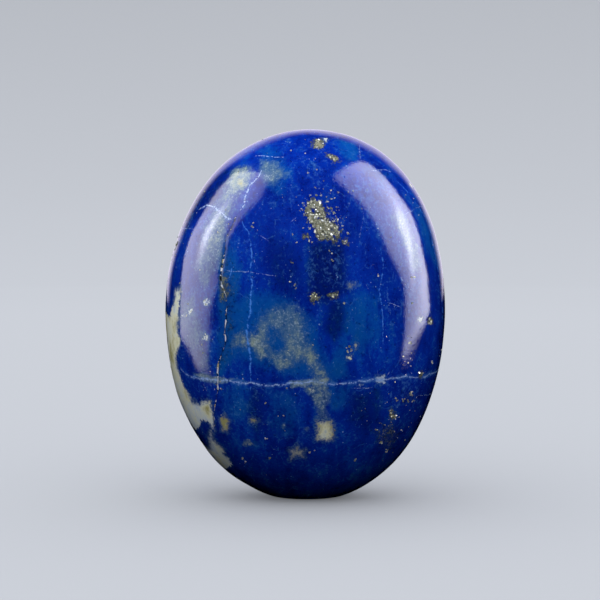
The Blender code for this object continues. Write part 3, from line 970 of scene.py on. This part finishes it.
# Single grains on the face: mm to the right, mm up and width in mm
SPECKS = (
    (-0.3, 12.1, 0.2), (-0.3, 11.4, 0.25), (-0.1, 10.8, 0.2), (0.2, 10.1, 0.2), (0.5, 9.4, 0.3),
    (3.6, 7.5, 0.2), (4.6, 8.9, 0.3), (4.1, 9.3, 0.2), (4, 9.7, 0.2), (3.5, 10.3, 0.25), (3.4, 11.7, 0.25),
    (2.4, 12.3, 0.3), (2.3, 12.8, 0.2), (2.8, 12.6, 0.25), (3.2, 12.7, 0.2), (0.5, 13, 0.2),
    (1.2, 13, 0.3), (1.7, 13, 0.25), (1.1, 13.8, 0.2), (2.8, 13.5, 0.2), (3.6, 13.3, 0.2),
    (2.5, 11.6, 0.3), (2.8, 11.6, 0.3), (3.1, 11.1, 0.3), (2.6, 7, 0.2), (2.9, 6.7, 0.2), (2.9, 6, 0.3),
    (4.2, 1.3, 0.3), (4.8, -3.4, 0.35), (5, -3.8, 0.4), (4.6, -3.9, 0.3), (11.4, -3, 0.4),
    (13.7, -5.1, 0.4), (-1.5, 5.7, 0.3), (-1.4, 8.8, 0.2), (-0.9, 7.9, 0.2), (-1.1, 3.3, 0.25),
    (-1, 2.9, 0.2), (-1.7, 3.6, 0.2), (7.9, 4.4, 0.25), (10.6, -9.3, 0.4), (11.7, -9.3, 0.3),
    (11.2, -9.4, 0.4), (11.5, -8.4, 0.4), (11.6, -8.7, 0.3), (9.8, -9, 0.3), (9.9, -9.3, 0.3),
    (7.7, -12.5, 0.3), (8.8, -14.8, 0.4), (5.4, -15.8, 0.35), (8.2, -13.8, 0.4), (-4.3, -13.4, 0.3),
    (-4.3, -9.5, 0.25), (-6.5, -15.9, 0.3), (-3.8, -15.5, 0.3), (-6.8, -15.5, 0.3), (1, -14.7, 0.25),
    (0.5, -14.9, 0.25), (11.5, 4.1, 0.25), (11.9, 4.1, 0.25), (11.6, 1.3, 0.25), (-7.3, 15.4, 0.25),
    (-8.6, 11.4, 0.2), (-8.3, 9.9, 0.2), (-9.5, 9, 0.2), (-10.9, 1.5, 0.25), (-10.8, 1.2, 0.25),
    (-12.4, 0.4, 0.2), (-12.7, 1.2, 0.2), (-12.9, -0.1, 0.2), (-10.9, -2.4, 0.2), (-11.2, -3.2, 0.2),
    (-11.1, -4.1, 0.2), (-5.6, 10, 0.25), (-5.8, 9.6, 0.25), (1.3, 15.8, 0.2),
)
# Loose swarms of grains: the side, mm to the right, mm up, spread in mm and count
SWARMS = (
    (0, 2, 10.5, 1.9, 40),
    (0, 3.2, 10.2, 0.9, 45),
    (0, 0.3, 12.2, 0.8, 16),
    (0, 9.8, -11, 1.9, 40),
    (0, -9.8, -8, 1.6, 12),
    (0, -1.5, -4, 2.6, 12),
    (0, -3, -11, 3.4, 8),
    (0, 11.5, -5, 1.6, 14),
    (0, 1, 16, 2.4, 10),
    (180, 6.5, -3, 2, 60),
    (180, -9.6, 4, 1.6, 34),
    (180, -1.5, 13.5, 1.9, 26),
    (180, -6, -9, 3.4, 44),
    (180, 3, 4, 4.8, 44),
    (90, 1.2, 0, 1.8, 34),
    (90, 2, -11, 2.6, 26),
    (90, -2, 11, 3, 18),
    (-90, 1.5, 6.5, 2, 24),
    (-90, 0, -8, 3.2, 40),
)


def grain_places():
    """Middles of all grains, in mm, and their widths.

    A speck is three grains that overlap: one in its middle, and two smaller ones by chance beside it. A
    swarm is denser towards its middle, and its grains are 0.09 to 0.25 mm wide, mostly small. Those of a
    bed are 0.16 to 0.32 mm wide, and those along the crack 0.1 to 0.22 mm.
    """
    places = []
    widths = []
    for azimuth, marks, holes in BEDS:
        places.append(bed_of_grains(azimuth, marks, holes))
        widths.append(GRAIN_SPACING * (0.8 + 0.8 * dice.random(len(places[-1]))))
    middles = np.array(SPECKS)[:, :2]
    speck_widths = np.array(SPECKS)[:, 2]
    for scale, shift in ((0.85, 0.0), (0.65, 0.3), (0.45, 0.3)):
        moves = dice.normal(size=middles.shape) * (speck_widths[:, None] * shift)
        places.append(seen(0, *(middles + moves)))
        widths.append(speck_widths * scale)
    for azimuth, across, up, spread, count in SWARMS:
        moves = dice.normal(size=(count, 2)) * spread * dice.random((count, 1)) * 1.6
        places.append(seen(azimuth, *(np.array([across, up]) + moves)))
        widths.append(0.09 + 0.16 * dice.random(count) ** 3)
    for route in (crack_route, back_crack_route):
        line = laid(route, 0.05)[0]
        places.append(line[dice.random(len(line)) < CRACK_FILLING])
        widths.append(0.1 + 0.12 * dice.random(len(places[-1])))
    return np.concatenate(places), np.concatenate(widths)


def grain_mesh(places, widths):
    """Points, faces and a random tone for each point of worn grains.

    A grain is an uneven ring of corners below the rock's surface, a smaller and tilted one a little above
    it, and faces that join and close the two.
    """
    count = len(places)
    found = [surface.find_nearest(Vector(place) * MM) for place in places]
    middles = np.array([hit[0] for hit in found]) / MM
    normals = np.array([hit[1] for hit in found])
    sides = np.cross(normals, dice.normal(size=(count, 3)))
    sides /= np.linalg.norm(sides, axis=1, keepdims=True)
    fronts = np.cross(normals, sides)
    angles = np.arange(GRAIN_CORNERS) * 2 * math.pi / GRAIN_CORNERS
    angles = angles + dice.normal(size=(count, GRAIN_CORNERS)) * GRAIN_UNEVENNESS
    radius = widths[:, None] / 2 * (1 + GRAIN_UNEVENNESS * dice.normal(size=angles.shape))
    x = np.cos(angles) * radius * (1 + GRAIN_STRETCH * dice.random((count, 1)))
    y = np.sin(angles) * radius
    tilt = dice.normal(size=(count, 2, 1)) * GRAIN_TILT
    rings = []
    top = GRAIN_RISE + x * tilt[:, 0] + y * tilt[:, 1]
    for scale, height in ((1.0, 0 * x - GRAIN_ROOT), (GRAIN_TOP, top)):
        ring = middles[:, None] + sides[:, None] * (x * scale)[..., None]
        ring = ring + fronts[:, None] * (y * scale)[..., None]
        rings.append(ring + normals[:, None] * height[..., None])
    points = np.concatenate(rings, axis=1).reshape(-1, 3)
    corner = np.arange(GRAIN_CORNERS)
    after = np.roll(corner, -1)
    walls = np.stack([corner, after, after + GRAIN_CORNERS, corner + GRAIN_CORNERS], axis=1)
    first = np.arange(count) * 2 * GRAIN_CORNERS
    faces = (first[:, None, None] + walls).reshape(-1, 4).tolist()
    faces += (first[:, None] + corner + GRAIN_CORNERS).tolist()
    faces += (first[:, None] + corner[::-1]).tolist()
    return points, faces, np.repeat(dice.random((count, 2)), 2 * GRAIN_CORNERS, axis=0)


# Width of the spots of tarnish, in mm
TARNISH_WIDTH = 0.1


def tarnished_pyrite():
    """Pyrite, cut matt by the grit and part tarnished: brassy grey-gold, with no two grains quite alike."""
    material, tree = new_material("tarnished_pyrite")
    tone, polish, _ = stored(tree, "tone")
    ramp = add(tree, "ValToRGB", {"Fac": tone})
    shades = ("#606654", "#949a84", "#b6b8a2", "#ced0c2", "#e6eef2")
    colour_stops(ramp, *zip((0, 0.3, 0.65, 0.88, 1), shades))
    place = add(tree, "TexCoord").outputs["Object"]
    wear = add(tree, "TexNoise", {"Vector": place, "Scale": 1 / (TARNISH_WIDTH * MM), "Detail": 3})
    dark = add(tree, "MapRange", {"Value": wear, "From Min": 0.35, "From Max": 0.55, "To Min": 0.6})
    colour = {"Factor": 1.0, "A": ramp, "B": dark}
    colour = add(tree, "Mix", colour, data_type="RGBA", blend_type="MULTIPLY")
    roughness = add(tree, "MapRange", {"Value": polish, "To Min": 0.3, "To Max": 0.6})
    surface = {"Base Color": colour, "Roughness": roughness, "Metallic": 0.35}
    surface = add(tree, "BsdfPrincipled", surface)
    add(tree, "OutputMaterial", {"Surface": surface})
    return material


grain_points, grain_faces, grain_tones = grain_mesh(*grain_places())
pyrite = mesh_object("pyrite_grains", grain_points, grain_faces, smooth=False)
store(pyrite, "tone", *grain_tones.T)
pyrite.data.materials.append(tarnished_pyrite())
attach(pyrite, "root")


# The studio
# Two soft boxes stand left and right of the stone, and a pale card stands behind it. The floor curves up
# all round into a pale wall. None of these is part of the stone.

# The soft boxes: their distance from the stone's middle in mm, their strength, and the azimuth and the
# elevation at which each stands
LIGHT_DISTANCE = 200
BOX_GLOW = 4.4
LEFT_AIM = (-85, 25)
RIGHT_AIM = (85, 25)
BOX_ROWS = 60
BOX_COLUMNS = 40
# Edges of each soft box from top to bottom, in mm to the right of and above its aim
LEFT_OUTER = (
    (-83, 101), (-90, 34), (-108, -16), (-98, -60), (-94, -95), (-109, -132), (-22, -163), (12, -211),
)
LEFT_INNER = (
    (85, 181), (135, 102), (110, 24), (109, -30), (100, -83), (102, -120), (95, -160), (82, -220),
)
RIGHT_OUTER = (
    (34, 143), (59, 94), (55, 20), (65, -30), (79, -72), (67, -117), (15, -141), (-60, -179),
)
RIGHT_INNER = (
    (-157, 212), (-147, 152), (-140, 52), (-115, -15), (-91, -59), (-83, -90), (-79, -120), (-72, -162),
)


def towards(azimuth, elevation):
    """The direction from the stone's middle at an azimuth, 0 towards the camera, and an elevation."""
    a = math.radians(azimuth)
    e = math.radians(elevation)
    return Vector((math.sin(a) * math.cos(e), -math.cos(a) * math.cos(e), math.sin(e)))


def glowing(name, colour, strength):
    """A material that gives off light by the glow that is stored on a sheet."""
    material, tree = new_material(name)
    glow = add(tree, "Attribute", attribute_name="glow")
    power = add(tree, "Math", {0: glow.outputs["Fac"], 1: strength}, operation="MULTIPLY")
    light = add(tree, "Emission", {"Color": linear(colour), "Strength": power})
    add(tree, "OutputMaterial", {"Surface": light})
    return material


def glowing_sheet(name, points, glow, material):
    """A sheet of points in rows and columns that glows unevenly. Only gloss on the stone shows it."""
    number = np.arange(glow.size).reshape(glow.shape)
    panel = mesh_object(name, points.reshape(-1, 3), sheet(number).tolist())
    panel.data.attributes.new("glow", "FLOAT", "POINT").data.foreach_set("value", glow.reshape(-1))
    panel.data.materials.append(material)
    panel.visible_camera = False
    panel.visible_diffuse = False


def soft_box(name, aim, outer, inner, glow_across, glow_down, core):
    """A glowing panel, lofted between its outer and inner edges.

    Its glow is the product of one profile from the inner to the outer edge and one from top to bottom. At
    its core, which is mm across, mm up, lean, half width, half height and strength, it is brighter still.
    """
    axis = towards(*aim)
    side = Vector((0, 0, 1)).cross(axis).normalized()
    rise = axis.cross(side)
    down = np.linspace(0, 1, BOX_ROWS)
    across = np.linspace(0, 1, BOX_COLUMNS)
    given = np.linspace(0, 1, len(outer))
    inner, outer = (
        np.stack([np.interp(down, given, np.array(edge)[:, i]) for i in (0, 1)], axis=1)[:, None]
        for edge in (inner, outer)
    )
    flat = inner * (1 - across[:, None]) + outer * across[:, None]
    middle = np.array(STONE_MIDDLE) / MM + np.array(axis) * LIGHT_DISTANCE
    points = middle + flat[..., :1] * np.array(side) + flat[..., 1:] * np.array(rise)
    glow = np.interp(down, np.linspace(0, 1, len(glow_down)), glow_down)[:, None]
    glow = glow * np.interp(across, np.linspace(0, 1, len(glow_across)), glow_across)
    core_across, core_up, lean, half_width, half_height, strength = core
    rise_in_core = flat[..., 1] - core_up
    side_in_core = flat[..., 0] - core_across - lean * rise_in_core
    glow += strength * np.exp(-0.5 * ((side_in_core / half_width) ** 2 + (rise_in_core / half_height) ** 2))
    glowing_sheet(name, points, glow, glowing(name, "#f4f2ff", BOX_GLOW))


soft_box(
    "left_soft_box", LEFT_AIM, LEFT_OUTER, LEFT_INNER,
    glow_across=(0.4, 0.8, 1.0, 1.1, 0.9), glow_down=(1.2, 1.2, 0.95, 0.7),
    core=(12, 3, 0.1, 11, 24, 2.9),
)
soft_box(
    "right_soft_box", RIGHT_AIM, RIGHT_OUTER, RIGHT_INNER,
    glow_across=(0.7, 0.95, 1.35, 1.8, 1.5), glow_down=(0.9, 1.35, 1.25, 0.8),
    core=(-12, -20, 0.45, 13, 36, 2.2),
)


def back_card():
    """A glowing band behind the stone: part of an upright ring, which fades out to its ends and its top.

    Its heights are shares of the ring's radius.
    """
    radius = 250
    spread = math.radians(42)
    low = -0.06
    top = 1.15
    turn, height = np.meshgrid(np.linspace(-spread, spread, 40), np.linspace(low, top, 30))
    azimuth = math.pi + turn
    rise = radius * height + MIDDLE_HEIGHT / MM
    points = np.stack([radius * np.sin(azimuth), -radius * np.cos(azimuth), rise], axis=-1)
    fade = np.clip(2.2 * np.cos(turn * math.pi / 2 / spread), 0, 1) * np.clip(2.2 * (1 - height / top), 0, 1)
    glowing_sheet("back_card", points, fade, glowing("back_card", "#e4dcf4", 1.5))


back_card()


def paper():
    """Matt pale paper that glows a little, so that it stays even."""
    material, tree = new_material("pale_paper")
    matt = add(tree, "BsdfDiffuse", {"Color": linear("#9a9c9e")})
    light = add(tree, "Emission", {"Color": linear("#c3c7cf"), "Strength": 0.2})
    both = add(tree, "AddShader", {0: matt, 1: light})
    add(tree, "OutputMaterial", {"Surface": both})
    return material


def sweep():
    """The floor: a flat disc that curves up into a round wall, as a profile turned about the stone."""
    flat = 500
    bend = 250
    wall = 500
    turns = np.linspace(0, 2 * math.pi, 97)
    angles = np.linspace(0, math.pi / 2, 24)[1:]
    disc = np.linspace(0, flat, 12)
    reach = np.concatenate([disc, flat + bend * np.sin(angles), [flat + bend]])
    height = np.concatenate([0 * disc, bend * (1 - np.cos(angles)), [bend + wall]])
    turned = [np.outer(part, reach) for part in (np.cos(turns), np.sin(turns))]
    points = np.stack([*turned, np.outer(np.ones_like(turns), height)], axis=-1)
    number = np.arange(turned[0].size).reshape(turned[0].shape)
    floor = mesh_object("floor", points.reshape(-1, 3), sheet(number.T).tolist())
    floor.data.materials.append(paper())
    floor.visible_glossy = False
    floor.visible_diffuse = False


sweep()


def sky():
    """An even glow from above, which lights matt colour only. Nothing comes from below."""
    world = bpy.data.worlds.new("studio")
    bpy.context.scene.world = world
    world.use_nodes = True
    tree = world.node_tree
    tree.nodes.clear()
    heading = add(tree, "TexCoord").outputs["Generated"]
    heading = add(tree, "SeparateXYZ", {"Vector": heading})
    above = {"Value": heading.outputs["Z"], "From Min": 0.05, "From Max": 0.4, "To Max": 2.0}
    above = add(tree, "MapRange", above)
    light = add(tree, "Background", {"Color": linear("#f6f8ff"), "Strength": above})
    add(tree, "OutputWorld", {"Surface": light})
    world.cycles_visibility.glossy = False
    world.cycles_visibility.camera = False


sky()

scene = bpy.context.scene
scene.view_settings.view_transform = "Standard"
scene.view_settings.look = "None"
